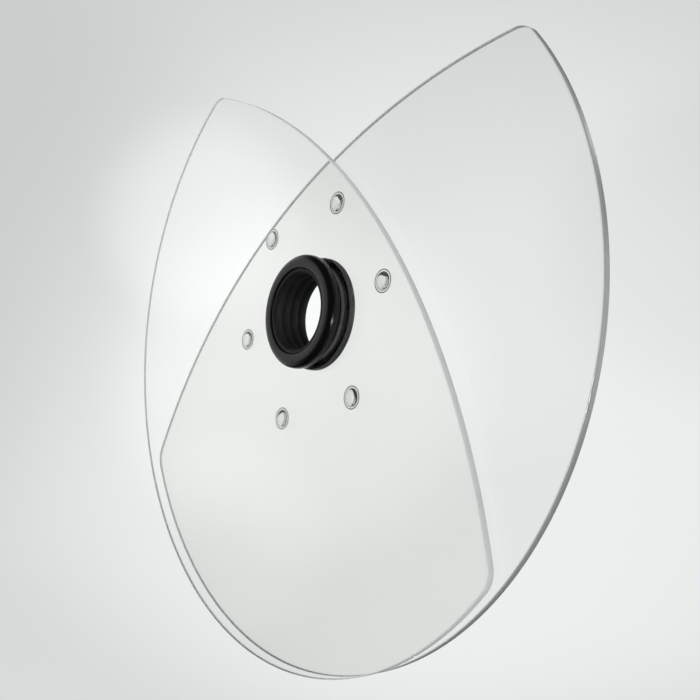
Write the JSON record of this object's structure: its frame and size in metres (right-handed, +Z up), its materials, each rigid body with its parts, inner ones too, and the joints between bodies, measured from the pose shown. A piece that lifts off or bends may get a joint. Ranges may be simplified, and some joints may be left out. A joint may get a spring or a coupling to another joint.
{
  "type": "microphone acoustic baffle",
  "caption": "Clear acoustic baffle of two leaves that fan round a flanged collar, which grips a handheld microphone's handle and clamps the leaves with a rear lock ring.",
  "frame": {"origin": "on the axis of the collar's bore, midway between the two leaves", "axes": "+Y along the bore from the front of the baffle to its rear, +Z up, +X to the right as seen from the front; the leaves lie in planes square to Y"},
  "size_m": [0.2841, 0.0176, 0.2512],
  "materials": {
    "clear_acrylic": "clear, polished faces with smooth cut edges",
    "clear_pad": "clear soft polyurethane, gloss as moulded",
    "black_nylon": "black, satin gloss as moulded",
    "black_rubber": "black, matt"
  },
  "bodies": {
    "collar": {"collar_sleeve": "black_nylon", "grip_liner": "black_rubber", "front_gasket": "black_rubber"},
    "front_leaf": {"leaf_front": "clear_acrylic", "spacer_pad_1": "clear_pad", "spacer_pad_2": "clear_pad", "spacer_pad_3": "clear_pad", "spacer_pad_4": "clear_pad", "spacer_pad_5": "clear_pad", "spacer_pad_6": "clear_pad"},
    "rear_leaf": {"leaf_rear": "clear_acrylic"},
    "washer": {"slip_washer": "black_nylon"},
    "ring": {"lock_ring": "black_nylon"}
  },
  "joints": [
    {"name": "front_leaf_turn", "type": "hinge", "parent": "collar", "child": "front_leaf", "pos_m": [0, 0, 0], "axis": [0, 1, 0], "continuous": true},
    {"name": "rear_leaf_turn", "type": "hinge", "parent": "collar", "child": "rear_leaf", "pos_m": [0, 0, 0], "axis": [0, 1, 0], "continuous": true},
    {"name": "clamp_travel", "type": "slide", "parent": "collar", "child": "washer", "axis": [0, 1, 0], "range_m": [0, 0.003]},
    {"name": "ring_turn", "type": "hinge", "parent": "washer", "child": "ring", "pos_m": [0, 0.0048, 0], "axis": [0, 1, 0], "range_deg": [0, 720]}
  ],
  "couplings": [
    {"joint": "clamp_travel", "follows": "ring_turn", "m_per_rad": 0.00023873}
  ]
}
